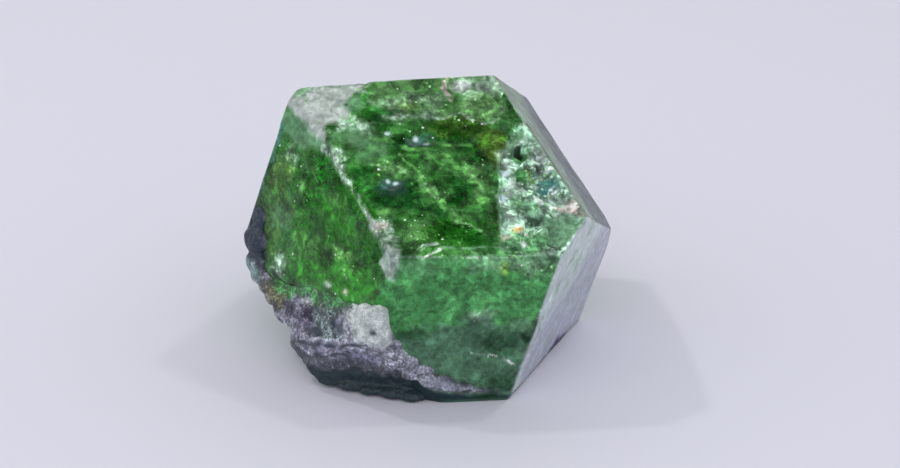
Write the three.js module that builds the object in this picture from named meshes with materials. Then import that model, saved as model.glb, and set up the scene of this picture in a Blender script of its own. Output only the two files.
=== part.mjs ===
// A loose garnet crystal with a wedge of its host rock still on one corner.
// Millimetres, +Z up, resting on the flat break at z = 0. The origin is the middle of the footprint.
//
// Garnet grows as rhombic dodecahedra: twelve faces, each square to one of the crystal's face
// diagonals. This one grew unevenly, so each face lies at its own distance from the centre. It was
// broken out of the rock across its lower third, and it lies on that break, which took the twelfth
// face, under the front, away.
import * as THREE from 'three';
import { ConvexGeometry } from 'three/addons/geometries/ConvexGeometry.js';
import { mergeVertices } from 'three/addons/utils/BufferGeometryUtils.js';

// How the crystal's three axes are turned, as the crystal lies on its break: degrees
const CRYSTAL_TURN = { x: 120, y: -28, z: 41.5 };

// The dodecahedron's faces: the face diagonal each is square to, and its distance from the centre.
// turn swings a face about the vertical, in degrees, where growth has left it a little off true.
const FACES = {
  upper_front: { diagonal: [1, 1, 0], distance: 7.15, turn: 4 },
  left: { diagonal: [0, 1, 1], distance: 7.5 },
  lower_front: { diagonal: [1, 0, 1], distance: 8.6, turn: -2.5 },
  upper_right: { diagonal: [1, 0, -1], distance: 7.8 },
  right: { diagonal: [1, -1, 0], distance: 7.7 },
  upper_back: { diagonal: [0, 1, -1], distance: 7.95 },
  upper_left: { diagonal: [-1, 1, 0], distance: 8.3 },
  back: { diagonal: [-1, 0, -1], distance: 7.8 },
  back_right: { diagonal: [0, -1, -1], distance: 7.65 },
  under_left: { diagonal: [-1, 0, 1], distance: 7.3 },
  under_back: { diagonal: [-1, -1, 0], distance: 7.9 },
};

// How far below the crystal's centre the flat break lies
const BREAK_DEPTH = 4.65;

// Corners knocked blunt, each by a small flat this deep
const BLUNT_CORNERS = [
  { between: ['upper_front', 'left', 'upper_left', 'upper_back'], depth: 0.45 },
  { between: ['upper_right', 'right', 'back_right'], depth: 0.25 },
];

// Two planes that no crystal face gives, by the azimuth and elevation of their outward normals in
// degrees, and their distance from the centre. The host rock meets the crystal in CONTACT, which
// faces the rock. UNDERCUT takes off the lower front corner of both, where they broke away.
const CONTACT = { azimuth: -135.4, elevation: -20, distance: 7.3 };
const UNDERCUT = { azimuth: -110, elevation: -23, distance: 8.95 };

// The rock stands this proud of the crystal faces that it carries on from, and this far off the
// ground. GAP keeps the two solids apart.
const ROCK_PROUD = 0.25;
const ROCK_LIFT = 0.3;
const GAP = 0.3;

const ROCK_FACES = ['left', 'lower_front', 'under_left'];

const INSIDE_TOLERANCE = 1e-6;
const MERGE_TOLERANCE = 1e-4;
const UP = new THREE.Vector3(0, 0, 1);

const radians = THREE.MathUtils.degToRad;

// A half-space is stored as the plane that bounds it, whose normal points out of the material
function halfSpace(normal, distance) {
  return new THREE.Plane(normal.clone().normalize(), -distance);
}

function crystalFace(name) {
  const { diagonal, distance, turn = 0 } = FACES[name];
  const axes = new THREE.Euler(
    radians(CRYSTAL_TURN.x),
    radians(CRYSTAL_TURN.y),
    radians(CRYSTAL_TURN.z),
  );
  const normal = new THREE.Vector3(...diagonal).applyEuler(axes).applyAxisAngle(UP, radians(turn));
  return halfSpace(normal, distance);
}

function brokenPlane({ azimuth, elevation, distance }) {
  const level = Math.cos(radians(elevation));
  const normal = new THREE.Vector3(
    level * Math.cos(radians(azimuth)),
    level * Math.sin(radians(azimuth)),
    Math.sin(radians(elevation)),
  );
  return halfSpace(normal, distance);
}

// The same plane moved outward along its normal
function movedOut(plane, shift) {
  return new THREE.Plane(plane.normal, plane.constant - shift);
}

// The same plane facing the other way, moved along its old normal
function facingBack(plane, shift) {
  return new THREE.Plane(plane.normal.clone().negate(), -plane.constant + shift);
}

// Where three planes meet, or null if two of them are parallel
function meetingPoint(a, b, c) {
  const bc = new THREE.Vector3().crossVectors(b.normal, c.normal);
  const ca = new THREE.Vector3().crossVectors(c.normal, a.normal);
  const ab = new THREE.Vector3().crossVectors(a.normal, b.normal);
  const volume = a.normal.dot(bc);
  if (Math.abs(volume) < INSIDE_TOLERANCE) return null;
  return bc
    .multiplyScalar(-a.constant)
    .addScaledVector(ca, -b.constant)
    .addScaledVector(ab, -c.constant)
    .divideScalar(volume);
}

// The corners of the convex body that lies inside every half-space
function cornersInside(planes) {
  const corners = [];
  for (let i = 0; i < planes.length; i += 1) {
    for (let j = i + 1; j < planes.length; j += 1) {
      for (let k = j + 1; k < planes.length; k += 1) {
        const point = meetingPoint(planes[i], planes[j], planes[k]);
        const inside = point && planes.every((p) => p.distanceToPoint(point) < INSIDE_TOLERANCE);
        if (inside) corners.push(point);
      }
    }
  }
  return corners;
}

// A flat across the corner where the named faces meet, square to the mean of their normals
function bluntCorner({ between, depth }, planes) {
  const normal = new THREE.Vector3();
  for (const name of between) normal.add(crystalFace(name).normal);
  normal.normalize();
  const reach = Math.max(...cornersInside(planes).map((corner) => corner.dot(normal)));
  return halfSpace(normal, reach - depth);
}

function convexSolid(planes) {
  const geometry = new ConvexGeometry(cornersInside(planes));
  geometry.deleteAttribute('normal');
  const merged = mergeVertices(geometry, MERGE_TOLERANCE);
  merged.computeVertexNormals();
  return merged;
}

function crystal() {
  const faces = Object.keys(FACES).map(crystalFace);
  const blunted = BLUNT_CORNERS.map((corner) => bluntCorner(corner, faces));
  const ground = halfSpace(UP.clone().negate(), BREAK_DEPTH);
  const broken = [ground, brokenPlane(UNDERCUT), brokenPlane(CONTACT)];
  const solid = convexSolid([...faces, ...blunted, ...broken]);
  const green = new THREE.MeshStandardMaterial({ color: 0x2c7a3c, roughness: 0.2, flatShading: true });
  const mesh = new THREE.Mesh(solid, green);
  mesh.name = 'garnet_crystal';
  return mesh;
}

function hostRock() {
  const carriedOn = [...ROCK_FACES.map(crystalFace), brokenPlane(UNDERCUT)];
  const outside = carriedOn.map((plane) => movedOut(plane, ROCK_PROUD));
  const underside = halfSpace(UP.clone().negate(), BREAK_DEPTH - ROCK_LIFT);
  const seat = facingBack(brokenPlane(CONTACT), GAP);
  const solid = convexSolid([...outside, underside, seat]);
  const grey = new THREE.MeshStandardMaterial({ color: 0x6a6672, roughness: 0.9, flatShading: true });
  const mesh = new THREE.Mesh(solid, grey);
  mesh.name = 'host_rock';
  return mesh;
}

const specimen = new THREE.Group();
specimen.add(crystal(), hostRock());

// Stand the specimen on z = 0 with its box centred on the origin
const box = new THREE.Box3().setFromObject(specimen);
const middle = box.getCenter(new THREE.Vector3());
specimen.position.set(-middle.x, -middle.y, -box.min.z);

export default specimen;
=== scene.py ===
"""The looks of a loose garnet crystal with a wedge of host rock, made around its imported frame.

Shapes are worked out in millimetres and turned into metres when a mesh is made. Places on the
crystal are given on its faces: millimetres from the middle of a face's corners, u level to the
right as seen from outside, and v up the face.
"""
import math

import bmesh
import bpy
import numpy as np
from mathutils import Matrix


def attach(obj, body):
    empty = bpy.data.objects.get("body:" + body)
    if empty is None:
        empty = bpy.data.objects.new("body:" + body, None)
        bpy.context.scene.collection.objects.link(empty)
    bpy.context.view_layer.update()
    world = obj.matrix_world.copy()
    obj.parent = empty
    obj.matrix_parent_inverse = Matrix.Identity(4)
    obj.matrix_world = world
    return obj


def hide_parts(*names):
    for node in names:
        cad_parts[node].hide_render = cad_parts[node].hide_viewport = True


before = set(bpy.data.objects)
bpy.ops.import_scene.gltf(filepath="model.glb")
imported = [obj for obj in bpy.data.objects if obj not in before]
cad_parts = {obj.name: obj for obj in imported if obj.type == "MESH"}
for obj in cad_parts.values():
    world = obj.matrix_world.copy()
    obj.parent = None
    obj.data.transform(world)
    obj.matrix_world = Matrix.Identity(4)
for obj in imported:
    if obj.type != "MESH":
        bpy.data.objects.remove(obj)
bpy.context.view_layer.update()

MM = 0.001
SEED = 7
UP = np.array([0.0, 0.0, 1.0])


# ---- materials ----


class Nodes:
    """Short calls that add shader nodes to a new material. Sizes are in millimetres."""

    def __init__(self, name):
        self.material = bpy.data.materials.new(name)
        self.material.use_nodes = True
        self.tree = self.material.node_tree
        self.shader = self.tree.nodes["Principled BSDF"]
        self.place = self.tree.nodes.new("ShaderNodeTexCoord").outputs["Object"]

    def link(self, value, socket):
        """Gives a socket a plain value, or links it to another socket."""
        if isinstance(value, bpy.types.NodeSocket):
            self.tree.links.new(value, socket)
        else:
            socket.default_value = value

    def add(self, kind, inputs, **settings):
        """A new node of a kind, its settings set and its inputs linked or given values."""
        node = self.tree.nodes.new("ShaderNode" + kind)
        for name, setting in settings.items():
            setattr(node, name, setting)
        for name, value in inputs.items():
            self.link(value, node.inputs[name])
        return node

    def mask(self, name):
        return self.add("Attribute", {}, attribute_name=name).outputs["Fac"]

    def colour(self, name):
        return self.add("Attribute", {}, attribute_name=name).outputs["Color"]

    def scaled(self, colour, number):
        inputs = {"Vector": colour, "Scale": number}
        return self.add("VectorMath", inputs, operation="SCALE").outputs["Vector"]

    def maths(self, operation, first, second=0.0, clamp=False):
        return self.add("Math", {0: first, 1: second}, operation=operation, use_clamp=clamp).outputs[0]

    def product(self, first, *others):
        for other in others:
            first = self.maths("MULTIPLY", first, other)
        return first

    def total(self, first, *others):
        for other in others:
            first = self.maths("ADD", first, other)
        return first

    def noise(self, size, detail=3.0, roughness=0.55, warp=0.0):
        """Noise from 0 to 1 with lumps of about that size."""
        inputs = {
            "Scale": 1 / (size * MM),
            "Detail": detail,
            "Roughness": roughness,
            "Distortion": warp,
            "Vector": self.place,
        }
        return self.add("TexNoise", inputs).outputs["Fac"]

    def cells(self, size, bend, feature="F1", output="Distance"):
        """A value of cells about that size across, their borders bent by a share of it."""
        swirl = self.add("TexNoise", {"Scale": 1.5 / (size * MM), "Vector": self.place})
        inputs = {0: swirl.outputs["Color"], 1: [bend * size * MM] * 3, 2: self.place}
        bent = self.add("VectorMath", inputs, operation="MULTIPLY_ADD").outputs[0]
        inputs = {"Scale": 1 / (size * MM), "Vector": bent}
        return self.add("TexVoronoi", inputs, feature=feature).outputs[output]

    def parts(self, colour):
        """The red, green and blue of a colour."""
        return self.add("SeparateColor", {0: colour}).outputs

    def ramp(self, value, low, high, to_low=0.0, to_high=1.0):
        inputs = {
            "Value": value,
            "From Min": low,
            "From Max": high,
            "To Min": to_low,
            "To Max": to_high,
        }
        return self.add("MapRange", inputs, interpolation_type="SMOOTHSTEP").outputs["Result"]

    def mix(self, part, first, second, kind="RGBA"):
        """A colour between two, by part from 0 to 1."""
        inputs = {"Factor": part, "A": first, "B": second}
        return self.add("Mix", inputs, data_type=kind).outputs["Result"]

    def blend(self, part, first, second):
        """A number between two, by part from 0 to 1."""
        return self.mix(part, first, second, "FLOAT")

    def bump(self, height, depth):
        inputs = {"Distance": self.maths("MULTIPLY", depth, MM), "Height": height}
        return self.add("Bump", inputs).outputs["Normal"]

    def set(self, **values):
        """Sets or links the shader's own sockets."""
        for name, value in values.items():
            self.link(value, self.shader.inputs[name.replace("_", " ")])

    def absorb(self, colour, density):
        """Fills the piece with a clear stuff that absorbs light."""
        volume = self.add("VolumeAbsorption", {"Color": colour, "Density": density}).outputs[0]
        self.tree.links.new(volume, self.tree.nodes["Material Output"].inputs["Volume"])


# ---- camera, floor and lights ----

CAMERA_PLACE = (1.1, -101.1, 47.3)
CAMERA_ELEVATION = 22.5
CAMERA_LENS = 87.0
FLOOR_RADIUS = 170.0
FLOOR_SIDES = 96
FLOOR_COLOUR = (0.74, 0.74, 0.84, 1)

# The studio's brightness at heights from level, 0, to straight up, 1
STUDIO = [(0.0, 0.35), (0.1, 0.5), (0.3, 1.15), (0.72, 1.15), (0.88, 0.35), (1.0, 0.12)]
STUDIO_COLOUR = (0.96, 0.97, 1.0)
STUDIO_STRENGTH = 0.9
# The lamps: azimuth and elevation in degrees, distance and width in millimetres, watts and colour
LAMPS = {
    "lamp_left": (155, 56, 180, 12, 0.036, (1.0, 0.98, 0.95)),
    "lamp_right": (28, 61, 300, 20, 0.076, (1.0, 0.98, 0.95)),
    "lamp_front": (-100, 50, 110, 70, 0.011, (1.0, 0.98, 0.96)),
}


def direction(azimuth, elevation):
    """The unit vector that points that way, with azimuth from +X towards +Y, in degrees."""
    a, e = math.radians(azimuth), math.radians(elevation)
    return np.array([math.cos(e) * math.cos(a), math.cos(e) * math.sin(a), math.sin(e)])


def add_object(name, data):
    thing = bpy.data.objects.new(name, data)
    bpy.context.scene.collection.objects.link(thing)
    return thing


def add_camera():
    data = bpy.data.cameras.new("camera")
    data.lens = CAMERA_LENS
    data.clip_start = 0.001
    data.clip_end = 20
    camera = add_object("camera", data)
    camera.location = [distance * MM for distance in CAMERA_PLACE]
    camera.rotation_euler = (math.radians(90 - CAMERA_ELEVATION), 0, 0)
    bpy.context.scene.camera = camera


def add_lamp(name, azimuth, elevation, distance, size, power, colour):
    data = bpy.data.lights.new(name, "AREA")
    data.shape = "DISK"
    data.size = size * MM
    data.energy = power
    data.color = colour
    lamp = add_object(name, data)
    lamp.location = direction(azimuth, elevation) * distance * MM
    lamp.rotation_euler = (math.radians(90 - elevation), 0, math.radians(azimuth + 90))


def add_world():
    world = bpy.data.worlds.new("studio")
    bpy.context.scene.world = world
    world.use_nodes = True
    tree = world.node_tree
    tree.nodes.clear()
    kinds = ("TexCoord", "SeparateXYZ", "ValToRGB", "Background", "OutputWorld")
    place, split, ramp, sky, out = (tree.nodes.new("ShaderNode" + kind) for kind in kinds)
    tree.links.new(place.outputs["Generated"], split.inputs[0])
    tree.links.new(split.outputs["Z"], ramp.inputs[0])
    tree.links.new(ramp.outputs[0], sky.inputs["Color"])
    tree.links.new(sky.outputs[0], out.inputs["Surface"])
    stops = ramp.color_ramp.elements
    while len(stops) < len(STUDIO):
        stops.new(0.5)
    for stop, (height, grey) in zip(stops, STUDIO):
        stop.position = height
        stop.color = [grey * part for part in STUDIO_COLOUR] + [1]
    sky.inputs["Strength"].default_value = STUDIO_STRENGTH


def add_floor():
    mesh = bpy.data.meshes.new("floor")
    turns = [2 * math.pi * side / FLOOR_SIDES for side in range(FLOOR_SIDES)]
    radius = FLOOR_RADIUS * MM
    rim = [(radius * math.cos(turn), radius * math.sin(turn), 0) for turn in turns]
    mesh.from_pydata(rim, [], [tuple(range(FLOOR_SIDES))])
    floor = add_object("floor", mesh)
    nodes = Nodes("floor")
    nodes.set(Base_Color=FLOOR_COLOUR, Roughness=0.6)
    mesh.materials.append(nodes.material)


# ---- noise ----

# What mixes three whole numbers and a seed: a prime for each number, a factor for the seed, then
# rounds of a shift and a factor, and a last shift
HASH_PRIMES = (73856093, 19349663, 83492791)
HASH_SEED_FACTOR = 2654435761
HASH_ROUNDS = ((16, 0x7FEB352D), (15, 0x846CA68B))
HASH_LAST_SHIFT = 16


def hashed(lattice, seed):
    """A number from 0 to 1 for each row of three whole numbers, the same on every run."""
    mixed = np.full(lattice.shape[:-1], (seed * HASH_SEED_FACTOR) % 2**32, np.uint32)
    for axis, prime in enumerate(HASH_PRIMES):
        mixed ^= lattice[..., axis].astype(np.int64).astype(np.uint32) * np.uint32(prime)
    for shift, factor in HASH_ROUNDS:
        mixed ^= mixed >> np.uint32(shift)
        mixed *= np.uint32(factor)
    mixed ^= mixed >> np.uint32(HASH_LAST_SHIFT)
    return mixed / 2.0**32


def noise(points, size, seed):
    """Smooth noise from -1 to 1 with lumps about size across."""
    scaled = points / size
    base = np.floor(scaled)
    part = scaled - base
    part = part * part * (3 - 2 * part)
    total = np.zeros(len(points))
    for corner in np.ndindex(2, 2, 2):
        weight = np.prod(np.where(corner, part, 1 - part), axis=1)
        total += weight * hashed(base + corner, seed)
    return 2 * total - 1


def fractal(points, size, seed, octaves=3):
    total = np.zeros(len(points))
    for octave in range(octaves):
        total += noise(points, size / 2**octave, seed + octave) / 2**octave
    return total


def cells(points, size, seed):
    """For each point, the nearest of scattered seeds about size apart.

    Returns its distance, the distance of the next nearest, the nearest seed itself, and a random
    number from 0 to 1 that belongs to it.
    """
    scaled = points / size
    base = np.floor(scaled)
    first = np.full(len(points), 9.0)
    second = first.copy()
    nearest = np.zeros((len(points), 3))
    chance = np.zeros(len(points))
    for step in np.ndindex(3, 3, 3):
        lattice = base + step - 1
        jitter = np.stack([hashed(lattice, seed + 11 * axis) for axis in range(3)], axis=1)
        centre = lattice + jitter
        distance = np.linalg.norm(centre - scaled, axis=1)
        closer = distance < first
        second = np.where(closer, first, np.minimum(second, distance))
        chance = np.where(closer, hashed(lattice, seed + 99), chance)
        nearest = np.where(closer[:, None], centre, nearest)
        first = np.where(closer, distance, first)
    return first * size, second * size, nearest * size, chance


def smoothstep(low, high, values):
    t = np.clip((values - low) / (high - low), 0, 1)
    return t * t * (3 - 2 * t)


# ---- mesh helpers ----


def refined(points, triangles, longest_edge):
    """Splits triangle edges in half until none is longer than longest_edge(its middle)."""
    while True:
        sides = np.concatenate([triangles[:, [0, 1]], triangles[:, [1, 2]], triangles[:, [2, 0]]])
        edges, which = np.unique(np.sort(sides, axis=1), axis=0, return_inverse=True)
        ends = points[edges]
        middles = ends.mean(axis=1)
        long = np.linalg.norm(ends[:, 0] - ends[:, 1], axis=1) > longest_edge(middles)
        if not long.any():
            return points, triangles
        new_point = np.full(len(edges), -1)
        new_point[long] = len(points) + np.arange(long.sum())
        points = np.vstack([points, middles[long]])
        halves = new_point[which.reshape(-1)].reshape(3, -1).T
        count = (halves >= 0).sum(axis=1)
        pieces = [triangles[count == 0]]
        # Turn each triangle so that its split edges come first, and its whole ones last
        for turn in range(3):
            a, b, c = (triangles[:, (turn + k) % 3] for k in range(3))
            ab, bc, ca = (halves[:, (turn + k) % 3] for k in range(3))
            one = (count == 1) & (ab >= 0)
            pieces += [np.stack(t, 1)[one] for t in ((a, ab, c), (ab, b, c))]
            two = (count == 2) & (ca < 0)
            pieces += [np.stack(t, 1)[two] for t in ((ab, b, bc), (a, ab, bc), (a, bc, c))]
        a, b, c = triangles.T
        ab, bc, ca = halves.T
        full = count == 3
        pieces += [
            np.stack(t, 1)[full] for t in ((a, ab, ca), (ab, b, bc), (ca, bc, c), (ab, bc, ca))
        ]
        triangles = np.concatenate(pieces)


def add_mesh(name, points, triangles, values=None, smooth=True):
    """A mesh object from millimetres, with a number or a colour at each point for each of values."""
    mesh = bpy.data.meshes.new(name)
    mesh.vertices.add(len(points))
    mesh.vertices.foreach_set("co", (points * MM).astype(np.float32).ravel())
    mesh.loops.add(3 * len(triangles))
    mesh.loops.foreach_set("vertex_index", triangles.astype(np.int32).ravel())
    mesh.polygons.add(len(triangles))
    mesh.polygons.foreach_set("loop_start", np.arange(0, 3 * len(triangles), 3, dtype=np.int32))
    mesh.polygons.foreach_set("use_smooth", np.full(len(triangles), smooth))
    mesh.update(calc_edges=True)
    mesh.validate()
    for key, numbers in (values or {}).items():
        if numbers.ndim == 1:
            attribute = mesh.attributes.new(key, "FLOAT", "POINT")
            attribute.data.foreach_set("value", numbers.astype(np.float32))
        else:
            attribute = mesh.attributes.new(key, "FLOAT_COLOR", "POINT")
            colours = np.hstack([numbers, np.ones((len(numbers), 1))])
            attribute.data.foreach_set("color", colours.astype(np.float32).ravel())
    return add_object(name, mesh)


# ---- the crystal's faces ----

# The cosine over which two packed triangles are in one face, and the least tilt of a face that
# has a level direction of its own
SAME_PLANE = 0.9995
NEARLY_LEVEL = 1e-3


class Face:
    """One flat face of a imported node: its outward normal, its corners and its own u and v."""

    def __init__(self, normal, corners):
        self.normal = normal
        self.middle = corners.mean(axis=0)
        self.u = np.cross(UP, normal)
        if np.linalg.norm(self.u) < NEARLY_LEVEL:
            self.u = np.array([1.0, 0.0, 0.0])
        self.u /= np.linalg.norm(self.u)
        self.v = np.cross(normal, self.u)
        across, up = self.uv(corners).T
        self.corners = corners[np.argsort(np.arctan2(up, across))]

    def height(self, points):
        """How far each point lies outside the face's plane."""
        return (points - self.middle) @ self.normal

    def uv(self, points):
        return np.stack([(points - self.middle) @ self.u, (points - self.middle) @ self.v], axis=1)

    def at(self, u, v, depth=0.0):
        return self.middle + u * self.u + v * self.v - depth * self.normal

    def near(self, points, reach=0.3):
        """1 on the face, falling to 0 at that far from its plane."""
        return np.clip(1 - np.abs(self.height(points)) / reach, 0, 1)

    def distance(self, points, u, v):
        return np.linalg.norm(points - self.at(u, v), axis=1)


def flat_faces(node):
    """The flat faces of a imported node."""
    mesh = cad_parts[node].data
    groups = []
    for polygon in mesh.polygons:
        normal = np.array(polygon.normal, float)
        corners = [np.array(mesh.vertices[i].co, float) / MM for i in polygon.vertices]
        for known, found in groups:
            if known @ normal > SAME_PLANE:
                found.extend(corners)
                break
        else:
            groups.append((normal, corners))
    return [
        Face(normal / np.linalg.norm(normal), np.unique(np.round(found, 3), axis=0))
        for normal, found in groups
    ]


def facing(faces, azimuth, elevation):
    towards = direction(azimuth, elevation)
    return max(faces, key=lambda face: face.normal @ towards)


def highest(faces, points):
    """How far each point lies outside the nearest of the faces: negative inside them all."""
    return np.max([face.height(points) for face in faces], axis=0)


def near_any(faces, points, reach):
    """1 on any of the faces, falling to 0 at that far from the planes of them all."""
    return np.max([face.near(points, reach) for face in faces], axis=0)


# The faces that show: P on top, Q on the left, R below P, and S1 and S2 on the right. BASE is the
# break underneath.
crystal_faces = flat_faces("garnet_crystal")
P = facing(crystal_faces, -80, 58)
Q = facing(crystal_faces, -140, 15)
R = facing(crystal_faces, -85, -2)
S1 = facing(crystal_faces, 7, 36)
S2 = facing(crystal_faces, -23, -16)
BASE = facing(crystal_faces, 0, -90)


def fans(faces):
    """One closed mesh of the faces, each as a fan about its middle."""
    points, triangles = [], []
    for face in faces:
        start = sum(len(p) for p in points)
        count = len(face.corners)
        points.append(np.vstack([face.corners, face.middle]))
        ring = np.arange(count)
        centre = np.full(count, count)
        triangles.append(start + np.stack([ring, (ring + 1) % count, centre], axis=1))
    points, triangles = np.vstack(points), np.concatenate(triangles)
    _, first, which = np.unique(np.round(points, 2), axis=0, return_index=True, return_inverse=True)
    return points[first], which.reshape(-1)[triangles]


# ---- places on a face ----


def along(places, path):
    """Each place's distance from an open path, both in a face's u and v."""
    best = np.full(len(places), np.inf)
    for start, end in zip(path[:-1], path[1:]):
        start, end = np.array(start), np.array(end)
        step = end - start
        part = np.clip((places - start) @ step / (step @ step), 0, 1)
        best = np.minimum(best, np.linalg.norm(places - start - part[:, None] * step, axis=1))
    return best


def inside(places, outline):
    """Each place's distance inside a closed outline, negative outside it."""
    closed = list(outline) + [outline[0]]
    within = np.zeros(len(places), bool)
    for (u0, v0), (u1, v1) in zip(closed[:-1], closed[1:]):
        if v0 == v1:
            continue
        crosses = (v0 > places[:, 1]) != (v1 > places[:, 1])
        where = u0 + (places[:, 1] - v0) * (u1 - u0) / (v1 - v0)
        within ^= crosses & (places[:, 0] < where)
    return np.where(within, 1, -1) * along(places, closed)


# ---- what lies on the crystal ----

# Films on the surface: the colour, how uneven and broken up it is, and its roughness
FILMS = {
    "haze": ((0.055, 0.46, 0.04), 0.7, 0.12),
    "lit": ((0.17, 0.5, 0.12), 0.7, 0.15),
    "sulphur": ((0.26, 0.52, 0.08), 0.8, 0.15),
    "moss": ((0.13, 0.3, 0.1), 0.6, 0.2),
    "spar": ((0.3, 0.6, 0.28), 0.7, 0.15),
    "shards": ((0.34, 0.55, 0.42), 1.1, 0.15),
    "green": ((0.05, 0.26, 0.05), 0.7, 0.15),
    "grass": ((0.03, 0.33, 0.015), 0.6, 0.12),
    "mist": ((0.5, 0.6, 0.57), 0.8, 0.2),
    "night": ((0.008, 0.03, 0.032), 0.3, 0.2),
    "sage": ((0.16, 0.36, 0.19), 0.3, 0.3),
    "milk": ((0.07, 0.28, 0.09), 0.5, 0.3),
    "low": ((0.075, 0.165, 0.105), 0.4, 0.3),
    "dark": ((0.01, 0.05, 0.02), 0.5, 0.2),
    # Painted shade in pits
    "pit": ((0.004, 0.014, 0.01), 0.0, 0.4),
    # A painted teal reflection
    "teal": ((0.05, 0.25, 0.24), 0.4, 0.12),
    "brown": ((0.055, 0.12, 0.02), 0.8, 0.3),
    "chalk": ((0.48, 0.54, 0.51), 0.32, 0.6),
    "frost": ((0.42, 0.52, 0.48), 0.5, 0.4),
    "crumbs": ((0.3, 0.42, 0.33), 1.0, 0.4),
    # White chips and marks, and painted glints
    "snow": ((0.85, 0.92, 0.92), 0.3, 0.12),
    # Painted gleams: blue-white highlights
    "gleam": ((0.75, 0.92, 1.0), 0.0, 0.1),
    "rose": ((0.6, 0.5, 0.47), 0.7, 0.3),
    # A painted orange glint
    "amber": ((0.85, 0.5, 0.12), 0.4, 0.2),
    "crust": ((0.17, 0.18, 0.215), 0.9, 0.7),
    "shade": ((0.015, 0.034, 0.042), 0.1, 0.6),
    # Painted shadow along the foot of S2
    "ink": ((0.04, 0.03, 0.11), 0.0, 0.5),
    # The side faces: frosted, with painted reflections; lavender and slate are the darker ones
    "pale": ((0.5, 0.58, 0.6), 0.15, 0.2),
    "lavender": ((0.35, 0.37, 0.47), 0.18, 0.25),
    "dull": ((0.16, 0.25, 0.17), 0.5, 0.35),
    "slate": ((0.085, 0.1, 0.13), 0.6, 0.4),
}
# The colours that light takes on in going through a surface
TINTS = {
    "clear": (0.55, 1.0, 0.5),
    "deep": (0.12, 0.45, 0.2),
    "leaf": (0.3, 1.0, 0.2),
    "olive": (0.75, 1.0, 0.25),
}

# P's shattered right end, the rough band along its top and its chalky corner, and the thin crust of
# rock along the foot of R
FRACTURED = [
    (2.8, -0.3), (3.4, 1.0), (4.0, 2.0), (5.2, 2.6), (7.2, -4.0), (4.9, -6.6), (2.1, -5.5), (2.35, -3.3),
    (2.6, -1.6),
]
BAND = [
    (-3.0, 5.0), (-2.9, 4.0), (-1.7, 3.2), (-0.9, 2.9), (0.4, 2.8), (1.1, 3.05), (1.6, 2.95), (2.6, 2.25),
    (3.2, 2.4), (3.7, 3.1), (3.7, 4.4), (3.4, 6.5), (-3.0, 6.5),
]
CAP = [
    (-7.5, 4.5), (-6.5, 6.2), (-2.9, 6.0), (-2.9, 4.6), (-3.7, 4.3), (-4.0, 3.3), (-5.0, 2.9), (-5.8, 2.1),
    (-7.0, 2.6),
]
CRUST = [
    (-2.6, -0.9), (-1.4, -1.65), (-0.6, -2.2), (0.8, -2.8), (2.4, -3.0), (2.5, -3.25), (0.9, -3.25),
    (-0.6, -3.0), (-1.7, -2.5), (-2.6, -1.9),
]

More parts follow.
